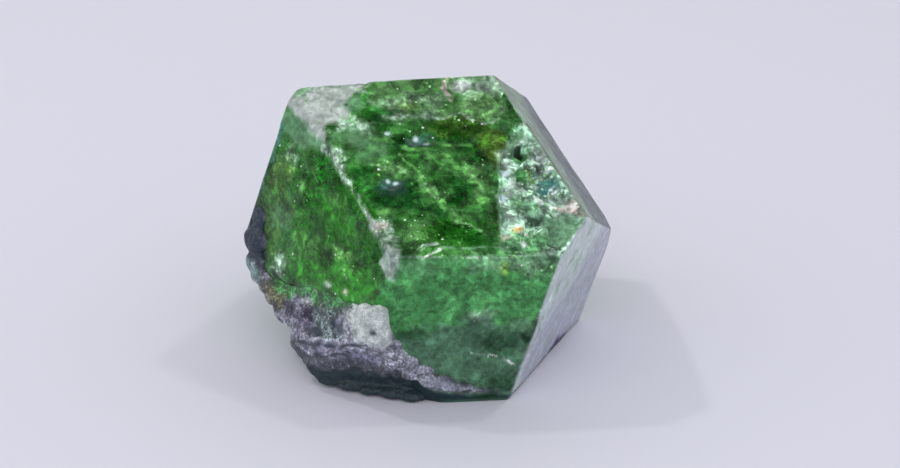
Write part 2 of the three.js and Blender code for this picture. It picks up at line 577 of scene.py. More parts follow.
# What shows on the faces: the film or tint, how much of it, the face, how far its border strays,
# and its place. A place is an outline, or an oval: its middle, half its width and half its height.
AREAS = [
    # The tints of the clear stone
    ("leaf", 0.9, Q, 0.6, (2.6, -0.6, 3.6, 3.0)),
    ("deep", 0.6, Q, 0.4, (0.9, 1.9, 0.7, 1.0)),
    ("leaf", 1.0, P, 0.3, (0.2, -4.2, 1.6, 0.8)),
    ("deep", 0.9, P, 0.4, (-2.4, -1.7, 1.3, 0.9)),
    ("deep", 0.8, P, 0.3, (-1.5, 1.4, 0.9, 0.5)),
    ("deep", 0.9, P, 0.3, (0.7, -1.4, 0.7, 0.6)),
    ("deep", 0.7, P, 0.3, (-0.9, -2.8, 0.9, 0.5)),
    ("deep", 0.6, P, 0.3, (1.4, -4.6, 0.6, 0.4)),
    ("olive", 0.9, P, 0.4, (1.3, 2.0, 1.2, 0.8)),
    ("olive", 0.9, P, 0.3, (2.7, 0.8, 0.7, 1.1)),
    # P: light and dark patches, and painted gleams over painted dark and teal reflections
    ("sage", 0.35, P, 0.4, (-3.3, 1.1, 0.9, 0.8)),
    ("lit", 0.5, P, 0.3, (-0.3, 0.35, 0.5, 0.2)),
    ("lit", 0.45, P, 0.3, (-3.0, -2.7, 0.5, 0.25)),
    ("lit", 0.45, P, 0.9, (-1.7, -3.95, 0.8, 0.7)),
    ("sulphur", 0.15, P, 0.4, (2.7, 0.8, 0.6, 0.8)),
    # Painted dark reflection round the gleams
    ("night", 0.75, P, 0.3, (-2.5, -1.3, 0.8, 0.3)),
    ("night", 0.65, P, 0.3, (-0.9, 1.15, 0.55, 0.28)),
    # Painted teal reflection at the gleams' edges
    ("teal", 0.5, P, 0.3, (-0.8, 1.35, 0.35, 0.2)),
    ("teal", 0.5, P, 0.3, (-2.45, -1.0, 0.4, 0.2)),
    ("gleam", 1.0, P, 0.02, (-2.65, -0.8, 0.1, 0.11)),
    ("gleam", 1.0, P, 0.02, (-2.31, -0.96, 0.11, 0.1)),
    ("gleam", 1.0, P, 0.05, (-0.97, 1.63, 0.13, 0.17)),
    ("gleam", 0.9, P, 0.03, (-2.32, 2.02, 0.12, 0.1)),
    ("gleam", 0.6, P, 0.03, (-0.53, 1.17, 0.1, 0.05)),
    # P: the rough band along its top
    ("moss", 0.4, P, 0.15, BAND),
    ("moss", 0.75, P, 0.2, (2.5, 3.4, 0.95, 0.9)),
    ("deep", 0.8, P, 0.3, (-1.9, 3.3, 0.8, 0.35)),
    ("crumbs", 0.4, P, 0.5, (-0.7, 3.0, 1.1, 0.3)),
    ("sulphur", 0.4, P, 0.3, (-1.2, 3.7, 0.4, 0.35)),
    ("crumbs", 0.35, P, 0.4, (-0.7, 4.0, 1.3, 0.4)),
    ("crumbs", 0.5, P, 0.4, (2.0, 4.7, 1.0, 0.5)),
    ("snow", 0.8, P, 0.3, (2.0, 4.8, 0.35, 0.2)),
    ("crumbs", 0.8, P, 0.3, (3.2, 4.9, 0.4, 0.5)),
    ("dark", 0.6, P, 0.3, (3.35, 2.1, 0.4, 0.35)),
    # P: the shattered right end
    ("sage", 0.85, P, 0.05, [
        (4.3, 1.9), (3.7, 1.4), (3.2, 0.5), (2.8, -0.3), (3.15, -0.4), (3.6, 0.5), (4.1, 1.1),
        (4.4, 1.6),
    ]),
    ("green", 0.8, P, 0.3, (4.05, 0.1, 0.45, 0.6)),
    ("mist", 0.8, P, 0.4, (4.95, -0.1, 0.3, 0.6)),
    ("mist", 0.8, P, 0.3, (5.0, -0.75, 0.3, 0.4)),
    ("green", 0.9, P, 0.2, (3.8, -0.95, 0.45, 0.4)),
    ("mist", 0.8, P, 0.4, (3.4, -1.65, 0.5, 0.3)),
    ("mist", 0.7, P, 0.4, (3.1, -0.5, 0.25, 0.5)),
    ("mist", 0.6, P, 0.5, (5.4, -2.7, 0.7, 0.4)),
    ("mist", 0.5, P, 0.5, (2.9, -3.2, 0.35, 0.9)),
    # A dark hollow painted as shade
    ("pit", 0.9, P, 0.2, (3.8, -1.48, 0.16, 0.14)),
    # A painted teal reflection on a facet
    ("teal", 0.9, P, 0.2, (5.0, -1.75, 0.5, 0.55)),
    ("milk", 0.6, P, 0.4, (3.6, -2.7, 0.8, 0.4)),
    ("dark", 0.8, P, 0.2, (3.85, -3.55, 0.5, 0.25)),
    ("sage", 0.8, P, 0.2, [(4.5, -3.6), (5.9, -3.5), (6.3, -4.1), (5.2, -5.1), (4.2, -4.9)]),
    ("green", 0.7, P, 0.3, (3.2, -5.1, 1.2, 0.7)),
    ("rose", 0.8, P, 0.3, (5.9, -3.05, 0.4, 0.3)),
    # Two painted gleams
    ("gleam", 1.0, P, 0.1, (3.0, -0.82, 0.16, 0.17)),
    ("gleam", 1.0, P, 0.08, (2.72, -2.09, 0.16, 0.17)),
    ("snow", 0.9, P, 0.1, (4.4, -1.63, 0.12, 0.14)),
    ("snow", 0.9, P, 0.1, (4.96, -2.37, 0.13, 0.1)),
    ("snow", 0.9, P, 0.1, (4.91, -2.74, 0.2, 0.1)),
    ("snow", 1.0, P, 0.1, (5.77, -3.05, 0.14, 0.1)),
    # Painted orange and pink glints
    ("amber", 0.9, P, 0.15, (3.2, -4.1, 0.3, 0.12)),
    ("rose", 0.9, P, 0.2, (2.4, -4.5, 0.25, 0.18)),
    ("snow", 0.9, P, 0.1, (3.4, -4.3, 0.16, 0.1)),
    ("snow", 0.9, P, 0.1, (3.27, -5.0, 0.12, 0.1)),
    # P: the chalky corner and the wedge
    ("chalk", 0.93, P, 0.45, CAP),
    ("sage", 0.7, P, 0.3, (-3.6, 3.85, 0.5, 0.5)),
    ("crumbs", 0.9, P, 0.6, [
        (-4.8, 3.0), (-4.0, 3.0), (-3.1, 2.6), (-3.2, 2.2), (-4.1, 2.2), (-4.9, 2.3),
    ]),
    ("sage", 0.4, P, 0.5, (-4.4, 1.9, 0.9, 0.5)),
    ("crumbs", 0.9, P, 0.4, [(-5.6, 1.5), (-4.8, 1.1), (-4.6, -0.1), (-4.9, -0.5), (-5.5, 0.5)]),
    ("crumbs", 0.9, P, 0.3, (-3.4, -3.5, 0.5, 0.5)),
    ("snow", 0.8, P, 0.2, (-3.75, -3.3, 0.14, 0.12)),
    ("rose", 0.8, P, 0.2, (-3.4, -3.6, 0.3, 0.2)),
    ("crumbs", 0.7, P, 0.4, (-3.2, -4.3, 0.6, 0.5)),
    ("frost", 0.75, P, 0.12, [
        (-4.1, -4.5), (-3.2, -4.6), (-2.6, -4.9), (-2.8, -5.6), (-2.9, -6.8), (-4.4, -6.8),
    ]),
    ("frost", 0.75, Q, 0.05, [(5.7, -0.8), (6.3, -1.1), (6.9, -1.6), (7.6, -1.2), (6.2, 0.2)]),
    # Q
    ("chalk", 1.0, Q, 0.15, [
        (-3.4, 4.5), (-2.4, 4.25), (-1.4, 3.9), (-1.0, 3.6), (0.2, 3.5), (-1.7, 6.2), (-4.0, 6.2),
    ]),
    ("sage", 0.7, Q, 0.3, [
        (-3.5, 4.4), (-1.4, 4.0), (1.0, 3.5), (0.2, 3.1), (-1.4, 2.8), (-2.8, 3.1), (-3.6, 3.5),
    ]),
    ("brown", 0.55, Q, 0.4, (-2.7, 0.9, 0.9, 0.8)),
    ("brown", 0.4, Q, 0.4, (-1.8, -0.3, 0.9, 0.5)),
    ("brown", 0.5, Q, 0.5, (-3.0, -1.8, 0.9, 1.6)),
    ("dark", 0.7, Q, 0.3, (3.3, 0.4, 0.6, 0.25)),
    ("dark", 0.7, Q, 0.3, (2.5, -0.9, 0.6, 0.15)),
    ("lit", 0.75, Q, 0.25, (2.7, -1.2, 0.75, 0.22)),
    ("lit", 0.6, Q, 0.3, (3.4, -1.75, 0.35, 0.3)),
    ("grass", 0.5, Q, 0.5, (4.4, -2.6, 2.0, 1.1)),
    ("grass", 0.4, Q, 0.5, (1.0, -2.9, 1.6, 0.7)),
    ("grass", 0.4, Q, 0.5, (2.2, 0.2, 1.4, 1.0)),
    ("lit", 0.3, Q, 0.6, (1.8, 0.9, 0.6, 0.4)),
    ("lit", 0.3, Q, 0.6, (0.2, -1.6, 0.7, 0.5)),
    ("sage", 0.35, Q, 0.4, (-2.2, -0.9, 1.0, 0.6)),
    ("dark", 0.5, Q, 0.4, (1.2, -0.3, 0.5, 0.4)),
    ("dark", 0.5, Q, 0.4, (1.7, -3.1, 0.8, 0.25)),
    ("dark", 0.5, Q, 0.3, (-1.7, -0.25, 0.5, 0.25)),
    ("crumbs", 0.8, Q, 0.4, (-1.6, -3.3, 0.5, 0.5)),
    # A painted white glint and a painted pink glint
    ("snow", 0.8, Q, 0.15, (2.45, -2.97, 0.18, 0.14)),
    ("rose", 0.8, Q, 0.15, (3.78, -2.85, 0.14, 0.12)),
    ("crumbs", 0.5, Q, 0.4, (-2.2, 2.2, 0.4, 0.6)),
    ("sulphur", 0.3, Q, 0.4, (-1.9, 1.7, 0.6, 0.3)),
    ("lit", 0.5, Q, 0.2, (-0.8, 0.9, 0.18, 0.35)),
    ("night", 0.8, Q, 0.6, [
        (-5.0, -0.7), (-3.9, -0.7), (-3.1, -2.0), (-2.9, -3.3), (-3.4, -4.2), (-5.0, -3.0),
    ]),
    ("brown", 0.9, Q, 0.3, (-1.8, -4.4, 1.0, 0.5)),
    # R
    ("sage", 0.35, R, 0.4, (-1.6, 3.6, 1.6, 0.4)),
    ("frost", 0.75, R, 0.12, [(-3.4, 4.4), (-2.3, 4.4), (-2.5, 3.5), (-2.8, 2.9), (-3.1, 3.4)]),
    ("green", 0.5, R, 0.4, (3.6, 3.5, 1.6, 0.5)),
    ("crumbs", 0.45, R, 0.5, (4.3, 3.5, 1.0, 0.4)),
    ("crumbs", 0.3, R, 0.5, (2.4, 3.6, 0.9, 0.25)),
    ("dark", 0.7, R, 0.3, (4.6, 3.95, 0.7, 0.3)),
    ("sulphur", 0.8, R, 0.1, (2.6, 3.3, 0.14, 0.25)),
    ("low", 0.95, R, 0.5, [
        (-4.0, 0.35), (-0.9, 0.25), (1.1, 0.95), (2.6, 0.6), (5.0, 0.2), (5.0, -4.5), (-4.0, -4.5),
    ]),
    ("dark", 0.7, R, 0.3, (2.5, -0.5, 0.85, 0.8)),
    ("dark", 0.5, R, 0.25, (-1.8, 0.0, 0.85, 0.35)),
    ("dark", 1.0, R, 0.1, [(3.4, -0.1), (4.3, 0.7), (4.1, -0.5), (3.6, -0.6)]),
    ("crumbs", 0.5, R, 0.3, (1.4, 1.0, 0.5, 0.2)),
    ("sage", 0.5, R, 0.4, (3.1, 0.3, 0.7, 0.3)),
    ("sage", 0.5, R, 0.3, (-2.4, -0.85, 0.6, 0.25)),
    ("dark", 0.6, R, 0.3, (2.4, -2.6, 0.8, 0.5)),
    ("shade", 1.0, R, 0.1, [
        (-1.7, -2.5), (-0.6, -3.0), (0.9, -3.25), (2.5, -3.25), (3.4, -3.4), (3.5, -4.5), (-3.0, -4.5),
    ]),
    ("dark", 0.9, R, 0.1, (1.9, -3.3, 0.6, 0.3)),
    ("crust", 0.95, R, 0.15, CRUST),
    # S2
    ("snow", 0.7, S2, 0.2, (-4.4, 1.5, 0.12, 0.25)),
    ("snow", 0.6, S2, 0.2, (-4.3, 0.8, 0.1, 0.14)),
    ("mist", 0.5, S2, 0.5, (-4.6, -1.2, 0.4, 1.2)),
    # Painted shadow along the foot of S2
    ("ink", 1.0, S2, 0.3, [
        (3.0, -4.6), (2.2, -4.15), (0.6, -3.85), (0.2, -3.5), (-0.2, -3.95), (-1.2, -4.1), (-2.4, -4.6),
    ]),
]

# Darker painted reflections on the two side faces, soft-edged: the film, the face and the outline
SIDE_REFLECTIONS = [
    ("lavender", S2, [
        (2.4, 3.6), (2.4, 2.4), (0.7, 1.2), (-1.1, 0.05), (-3.9, -0.9), (-4.4, -1.8), (-5.0, -6.0),
        (6.0, -6.0), (6.0, 3.6),
    ]),
    ("slate", S1, [
        (8.5, 3.6), (4.8, 2.8), (2.7, 2.0), (-1.85, 1.0), (-6.0, -1.2), (-3.0, -6.0), (6.0, -6.0),
    ]),
]

# Lines on the faces: the film, how much of it, the face, half the line's width, and its path
LINES = [
    ("lit", 0.5, P, 0.3, [(-2.8, 0.2), (-2.1, -0.25), (-1.4, -0.9), (-0.9, -1.4), (-0.5, -1.9)]),
    ("spar", 0.7, P, 0.07, [(-3.3, 0.1), (-2.5, -0.1), (-1.7, -0.6), (-1.0, -1.3), (-0.5, -2.1)]),
    ("spar", 0.6, P, 0.05, [(-2.6, 0.3), (-1.9, -0.2), (-1.1, -0.8), (-0.4, -1.7)]),
    ("lit", 0.5, P, 0.06, [(-1.9, 0.7), (-1.6, 0.1), (-1.2, -0.6), (-0.9, -1.3)]),
    ("lit", 0.5, P, 0.3, [(0.3, 0.2), (0.9, -0.2), (1.5, -0.8), (1.7, -1.5), (1.8, -2.2)]),
    ("spar", 0.5, P, 0.05, [(0.6, 0.2), (1.2, -0.5), (1.6, -1.3), (1.9, -2.2)]),
    ("spar", 0.6, P, 0.06, [(0.2, -3.4), (0.8, -3.8), (1.35, -4.15)]),
    ("lit", 0.4, P, 0.2, [(-0.6, -1.9), (-0.1, -2.6), (0.3, -3.4)]),
    ("lit", 0.5, P, 0.12, [(-3.3, 1.9), (-2.2, 1.4), (-1.5, 1.0), (-0.6, 0.9)]),
    ("lit", 0.5, P, 0.08, [(-0.4, 1.3), (0.6, 1.0), (1.6, 0.9)]),
    ("crumbs", 0.9, P, 0.1, [(-4.95, 0.5), (-4.7, -0.4), (-4.5, -1.2), (-4.1, -2.3), (-3.8, -3.1)]),
    ("snow", 0.5, P, 0.03, [(-4.5, -1.2), (-4.1, -2.3), (-3.8, -3.1)]),
    ("crumbs", 0.9, P, 0.07, [(-1.9, -5.0), (-1.45, -4.8), (-0.9, -4.7)]),
    ("snow", 0.5, P, 0.02, [(-1.7, -5.1), (-1.3, -4.85), (-0.8, -4.7)]),
    ("crumbs", 0.9, P, 0.07, [(-1.6, -5.5), (-1.0, -5.15), (-0.6, -5.0)]),
    ("rose", 0.7, P, 0.03, [(-1.5, -5.5), (-1.0, -5.2), (-0.6, -5.0)]),
    ("sage", 0.9, P, 0.06, [(-0.6, -5.0), (0.5, -5.1), (1.8, -5.15), (2.3, -5.2)]),
    ("sage", 0.8, P, 0.06, [(2.8, -0.4), (2.7, -1.5), (2.5, -2.6), (2.3, -3.9), (2.2, -4.7)]),
    ("crumbs", 0.55, P, 0.12, [(-1.9, 2.95), (-0.5, 2.85), (0.4, 2.65), (1.4, 3.0), (2.4, 2.25)]),
    ("crumbs", 0.55, P, 0.13, [(2.4, 2.25), (3.2, 2.4), (3.5, 2.9), (3.6, 4.4)]),
    ("rose", 0.9, P, 0.14, [(0.8, 5.6), (0.9, 4.6), (1.05, 3.9)]),
    ("snow", 0.8, P, 0.04, [(4.2, 1.1), (3.9, 0.85), (3.6, 0.5)]),
    ("sulphur", 0.9, P, 0.07, [(4.0, -0.7), (4.2, -0.9), (4.4, -1.2)]),
    # A painted band of white glint
    ("snow", 1.0, P, 0.12, [(3.8, -1.95), (4.2, -2.25), (4.5, -2.55)]),
    ("snow", 1.0, P, 0.04, [(4.88, -2.12), (5.26, -1.8)]),
    ("snow", 1.0, P, 0.04, [(5.15, -2.15), (5.44, -1.96)]),
    ("rose", 0.8, P, 0.1, [(5.2, -2.9), (5.8, -3.05), (6.4, -3.5)]),
    ("night", 0.9, Q, 0.08, [(-2.3, -3.6), (-1.3, -3.9), (-0.2, -4.2)]),
    # A painted teal reflection along Q's left edge
    ("teal", 0.4, Q, 0.25, [(-3.4, 3.3), (-3.8, 1.9), (-4.0, 1.0), (-4.2, -0.2)]),
    ("sulphur", 0.7, Q, 0.05, [(-3.0, 1.6), (-2.5, 1.35), (-1.9, 1.6)]),
    ("crumbs", 0.9, Q, 0.2, [(0.3, 3.3), (1.8, 2.5), (2.4, 2.2)]),
    ("snow", 0.6, R, 0.03, [(1.0, -1.1), (2.0, -1.3)]),
    ("snow", 0.7, R, 0.04, [(2.0, -1.2), (2.6, -1.35), (3.1, -1.7)]),
    ("snow", 0.5, R, 0.04, [(-2.6, -0.5), (-2.1, -0.8), (-1.9, -1.1)]),
    # A painted shadow line along the foot of S2
    ("ink", 1.0, S2, 0.08, [(-1.1, -4.2), (-2.2, -4.35), (-4.0, -4.35), (-5.8, -4.35)]),
]

# Smooth hollows that catch the lamps, and deeper pits, painted dark as shade: the place, its
# radius and its depth
DIMPLES = [
    (P, -2.3, 2.0, 0.4, 0.1),
    (P, -1.0, 1.6, 0.62, 0.19),
    (P, -2.5, -0.9, 0.7, 0.21),
    (P, 2.7, -2.1, 0.45, 0.13),
    (Q, 3.6, -4.0, 0.5, 0.1),
]
PITS = [
    (P, 3.9, 0.48, 0.28, 0.13),
    (P, 4.63, -0.55, 0.16, 0.1),
    (P, -4.1, 3.9, 0.1, 0.1),
]
# The size of the bends in a place's border, and the least half width of that border
STRAY_SIZE = 0.7
LEAST_BORDER = 0.06
# Painted glints: the place, how far they spread, and the share of the surface that glints
PAINTED_SPARKLES = [
    (P, -1.7, -3.9, 0.8, 0.4),
    (P, -2.6, 0.0, 0.6, 0.25),
    (P, -1.2, -0.9, 0.7, 0.2),
    (P, -0.3, -1.9, 0.5, 0.15),
    (P, 1.6, -1.2, 0.8, 0.12),
    (P, 0.8, -3.8, 0.5, 0.2),
    (P, 1.2, 2.9, 0.9, 0.2),
    (P, 3.2, 2.4, 0.6, 0.3),
    (P, -0.6, 3.5, 1.5, 0.12),
    (P, 2.6, 0.6, 0.9, 0.12),
    (P, 3.5, -1.7, 0.9, 0.45),
    (P, 4.9, -1.2, 0.9, 0.45),
    (P, 5.0, -2.6, 1.0, 0.4),
    (P, 3.0, -4.6, 1.2, 0.3),
    (P, -3.4, -3.4, 0.6, 0.3),
    (P, -4.6, 0.6, 0.6, 0.2),
    (Q, -2.2, 2.2, 0.8, 0.25),
    (Q, -0.9, 0.7, 0.8, 0.12),
    (Q, 3.4, -1.8, 1.0, 0.25),
    (Q, -1.6, -2.2, 1.2, 0.12),
    (R, 4.3, 3.5, 1.0, 0.2),
    (R, 0.3, 4.1, 1.2, 0.08),
]


def place_mask(points, face, place, ragged, seed):
    """1 inside a place on a face and 0 outside it, with a border that strays."""
    mask = face.near(points, 0.5)
    near = mask > 0
    places = face.uv(points[near])
    if isinstance(place, list):
        depth = inside(places, place)
    else:
        u, v, wide, high = place
        depth = (1 - np.hypot((places[:, 0] - u) / wide, (places[:, 1] - v) / high)) * min(wide, high)
    depth += 0.8 * ragged * fractal(points[near], STRAY_SIZE, seed)
    soft = LEAST_BORDER + ragged / 2
    mask[near] *= smoothstep(-soft, soft, depth)
    return mask


def line_mask(points, face, width, path):
    """1 on a line on a face and 0 off it. The line strays, swells and breaks off here and there."""
    mask = face.near(points, 0.3)
    near = mask > 0
    close = points[near]
    stray = 0.1 * np.stack([noise(close, 0.5, 93), noise(close, 0.5, 94)], axis=1)
    swell = width * (1 + 0.8 * noise(close, 0.35, 92))
    mask[near] *= 1 - smoothstep(0.6, 1.6, along(face.uv(close) + stray, path) / swell)
    mask[near] *= smoothstep(-0.9, 0.3, fractal(close, 0.5, 91))
    return mask


class Surface:
    """The film on each point of a surface, and the tint under it, as the mesh's attributes."""

    def __init__(self, count, film):
        self.tint = np.tile(np.array(TINTS["clear"]), (count, 1))
        self.film = np.tile(np.array(FILMS[film][0]), (count, 1))
        self.grain = np.full(count, FILMS[film][1], float)
        self.rough = np.full(count, FILMS[film][2], float)
        self.cover = np.zeros(count)
        self.painted_glint_amount = np.zeros(count)

    def lay(self, name, amount):
        """Lays a film over what is there, or tints it, by an amount from 0 to 1 at each point."""
        if name in TINTS:
            self.tint += amount[:, None] * (np.array(TINTS[name]) - self.tint)
            self.cover *= 1 - 0.6 * amount
            return
        colour, grain, rough = FILMS[name]
        cover = amount + self.cover * (1 - amount)
        share = amount / np.maximum(cover, 1e-6)
        self.film += share[:, None] * (np.array(colour) - self.film)
        self.grain += share * (grain - self.grain)
        self.rough += share * (rough - self.rough)
        self.cover = cover


# ---- the crystal ----

# The longest edge of the triangles on P and Q, on the other faces that show, and on the rest
EDGES = (0.11, 0.17, 0.32)
SEEN = (P, Q, R, S1, S2)
UNDERCUT = facing(crystal_faces, -110, -23)
HOSTED = facing(crystal_faces, -135, -20)
# The way that the streaks on P run, in its u and v and in space
STREAKS = np.array([0.7, -0.7])
STREAK_LINE = STREAKS[0] * P.u + STREAKS[1] * P.v
# How round the edges are worn: at least so much, up to so much more, and more again on the chalk
LEAST_WEAR = 0.045
UNEVEN_WEAR = 0.05
CHALK_WEAR = 0.25
# The deepest that the real surface lies under the flat faces
MOST_RELIEF = 0.9
# The size of the cells that hold one painted glint each, and the two colours of painted glints
PAINTED_GLINT_SIZE = 0.16
PAINTED_GLINT_COLOURS = ((0.3, 0.7, 0.22, 1), (0.85, 0.97, 0.9, 1))
# The paler colour of the rims of the small facets in a film
RIM_COLOUR = (0.25, 0.6, 0.25, 1)
# How much the clear stone bends light and how faint its reflections are, and the colour and the
# density of what absorbs light in it
GARNET_IOR = 1.74
GARNET_SHEEN = (0.12, 0.12, 0.12, 1)
BODY_COLOUR = (0.04, 0.975, 0.06, 1)
BODY_DENSITY = 500

# Films that cloud the faces at the back: how much of each, the noise between which it comes in,
# and the noise's size, seed and octaves
HIDDEN_FILMS = [
    ("milk", 0.7, -0.1, 0.5, 3.0, 97, 3),
    ("crumbs", 0.7, 0.55, 1.1, 1.3, 98, 5),
    ("frost", 0.8, 0.8, 1.2, 2.2, 99, 5),
]


def stepped(points, size, seed, steepness):
    """A stepped relief from 0 to about size times steepness: each cell is a leaning flat."""
    _, _, seeds, chance = cells(points, size, seed)
    lean = np.stack([hashed(np.round(seeds * 1000), seed + axis) for axis in range(3)], axis=1) - 0.5
    return size * steepness * (chance + np.sum((points - seeds) / size * lean * 2.5, axis=1))


def worn(points, faces, radius):
    """Where points on the faces go as the edges between them wear round, and which way they face."""
    heights = np.stack([face.height(points) for face in faces], axis=1) / radius[:, None]
    pull = np.exp(heights - heights.max(axis=1, keepdims=True))
    depth = (np.log(pull.sum(axis=1)) + heights.max(axis=1)) * radius
    normals = pull @ np.array([face.normal for face in faces])
    normals /= np.linalg.norm(normals, axis=1, keepdims=True)
    return points - normals * depth[:, None], normals, depth / radius


def hollow(points, face, u, v, radius, depth):
    """The depth of a smooth round hollow at each point."""
    part = face.distance(points, u, v) / radius
    return depth * np.clip(1 - part**2, 0, 1) ** 2


def only(mask, shape, points):
    """A shape's values where a mask is more than 0, times the mask."""
    values = np.zeros(len(points))
    near = mask > 0
    values[near] = mask[near] * shape(points[near])
    return values


def fractured(points):
    return place_mask(points, P, FRACTURED, 0.05, 25)


def chalky(points):
    return place_mask(points, P, CAP, 0.2, 24)


def shattered(points):
    return 0.06 + stepped(points, 0.95, 35, 0.3) + stepped(points, 0.35, 36, 0.22)


def rough_top(points):
    return 0.02 + stepped(points, 1.0, 37, 0.1) + stepped(points, 0.35, 38, 0.12)


def growth_steps(points):
    return 0.012 * np.abs(stepped(points, 0.8, 42, 1.0))


def crumbly(points):
    return 0.05 * fractal(points, 0.4, 34)


def grown_uneven(points):
    return 0.15 + stepped(points, 2.2, 39, 0.14) + stepped(points, 0.9, 41, 0.16)


def relief(points):
    """How deep the real surface lies under the flat faces, at points on them."""
    inward = smoothstep(0.1, 1.2, -highest(SEEN, points))
    heights = np.sort([face.height(points) for face in crystal_faces], axis=0)
    rim = smoothstep(0.05, 0.5, -heights[-2])
    depth = 0.02 * np.abs(fractal(points, 2.5, 33))
    depth += only(rim * near_any((P, Q, S1, S2), points, 0.2), growth_steps, points)
    depth += only(rim * fractured(points), shattered, points)
    depth += only(rim * place_mask(points, P, BAND, 0.08, 23), rough_top, points)
    depth += only(chalky(points), crumbly, points)
    depth += only(inward * smoothstep(0.0, 0.4, -heights[-2]), grown_uneven, points)
    for place in DIMPLES + PITS:
        depth += hollow(points, *place)
    return np.clip(depth, 0, MOST_RELIEF)


def painted_glint_share(points):
    """The share of the surface painted with glints at each point."""
    total = 0.003 * near_any((P, Q), points, 0.3)
    for face, u, v, spread, share in PAINTED_SPARKLES:
        total += share * np.exp(-2 * (face.distance(points, u, v) / spread) ** 2)
    return total


def crystal_surface(points):
    surface = Surface(len(points), "haze")
    drawn_out = np.outer(P.uv(points) @ STREAKS, 1.6 * STREAK_LINE)
    streaks = 0.6 * noise(points + drawn_out, 1.1, 95)
    clouds = smoothstep(-0.5, 0.9, streaks + 0.6 * fractal(points, 1.3, 96))
    surface.lay("haze", 0.05 + (0.32 - 0.12 * Q.near(points, 0.3)) * clouds)
    surface.lay("deep", 0.8 * smoothstep(0.15, 0.8, fractal(points, 0.9, 55)))
    surface.lay("shards", 0.85 * fractured(points))
    surface.lay("milk", 0.9 * R.near(points, 0.15) * smoothstep(4.45, 3.7, R.uv(points)[:, 1]))
    # S1 and S2 are covered with a pale film, partly a frosted face and partly a painted reflection
    frost_and_reflection = 0.94 - 0.5 * smoothstep(0.35, 0.9, fractal(points, 1.3, 101, 5))
    surface.lay("dull", frost_and_reflection * S1.near(points, 0.08))
    surface.lay("pale", frost_and_reflection * S2.near(points, 0.08))
    for name, face, outline in SIDE_REFLECTIONS:
        depth = inside(face.uv(points), outline) + 0.5 * fractal(points, 1.5, 102)
        surface.lay(name, frost_and_reflection * face.near(points, 0.08) * smoothstep(-0.9, 0.9, depth))
    for number, (name, amount, face, ragged, place) in enumerate(AREAS):
        surface.lay(name, amount * place_mask(points, face, place, ragged, 40 + number))
    for name, amount, face, width, path in LINES:
        surface.lay(name, amount * line_mask(points, face, width, path))
    # The pits are painted dark, as shade
    for face, u, v, radius, _ in PITS:
        surface.lay("pit", 0.9 * place_mask(points, face, (u, v, radius, radius * 0.9), 0.05, 92))
    hidden = 1 - near_any(SEEN, points, 0.25)
    for name, amount, low, high, size, seed, octaves in HIDDEN_FILMS:
        mask = smoothstep(low, high, fractal(points, size, seed, octaves))
        surface.lay(name, amount * hidden * mask)
    surface.lay("low", 0.9 * BASE.near(points, 0.2))
    surface.lay("shade", UNDERCUT.near(points, 0.12))
    surface.lay("shade", HOSTED.near(points, 0.2) * smoothstep(2.8, 2.2, points[:, 2]))
    surface.painted_glint_amount = painted_glint_share(points)
    return surface


def longest_edge(middles):
    """The longest that an edge may be, by the face that its middle is on."""
    on_faces = [near_any(faces, middles, 0.2) > 0 for faces in ((P, Q), SEEN)]
    return np.select(on_faces, EDGES[:2], EDGES[2])


def make_crystal():
    points, triangles = refined(*fans(crystal_faces), longest_edge)
    surface = crystal_surface(points)
    radius = LEAST_WEAR + UNEVEN_WEAR * np.abs(noise(points, 1.5, 31)) + CHALK_WEAR * chalky(points)
    shaped, normals, wear = worn(points, crystal_faces, radius)
    chipped = smoothstep(0.1, 0.6, wear) * smoothstep(-0.3, 0.5, fractal(points, 0.5, 32))
    chipped *= 1 - HOSTED.near(points, 0.5)
    surface.lay("crumbs", 0.6 * chipped * (surface.cover < 0.9))
    shaped -= normals * relief(points)[:, None]
    return add_mesh("crystal", shaped, triangles, vars(surface))


def painted_glint_layer(nodes):
    """Painted glints: where they lie, from 0 to 1, and their colour. They vary in size."""
    lot = nodes.parts(nodes.cells(PAINTED_GLINT_SIZE, 0.6, output="Color"))
    size = nodes.product(nodes.maths("POWER", lot[2], 1.5), 0.55)
    reach = nodes.maths("SUBTRACT", size, nodes.cells(PAINTED_GLINT_SIZE, 0.6))
    halo = nodes.product(nodes.ramp(reach, -0.35, 0.1), 0.3)
    painted_glint = nodes.total(nodes.ramp(reach, 0.0, 0.15), halo)
    share = nodes.product(nodes.mask("painted_glint_amount"), 2.0)
    chosen = nodes.maths("GREATER_THAN", nodes.total(lot[0], share), 1.0)
    colour = nodes.mix(nodes.ramp(lot[1], 0.4, 0.95), *PAINTED_GLINT_COLOURS)
    return nodes.maths("MULTIPLY", painted_glint, chosen, True), colour


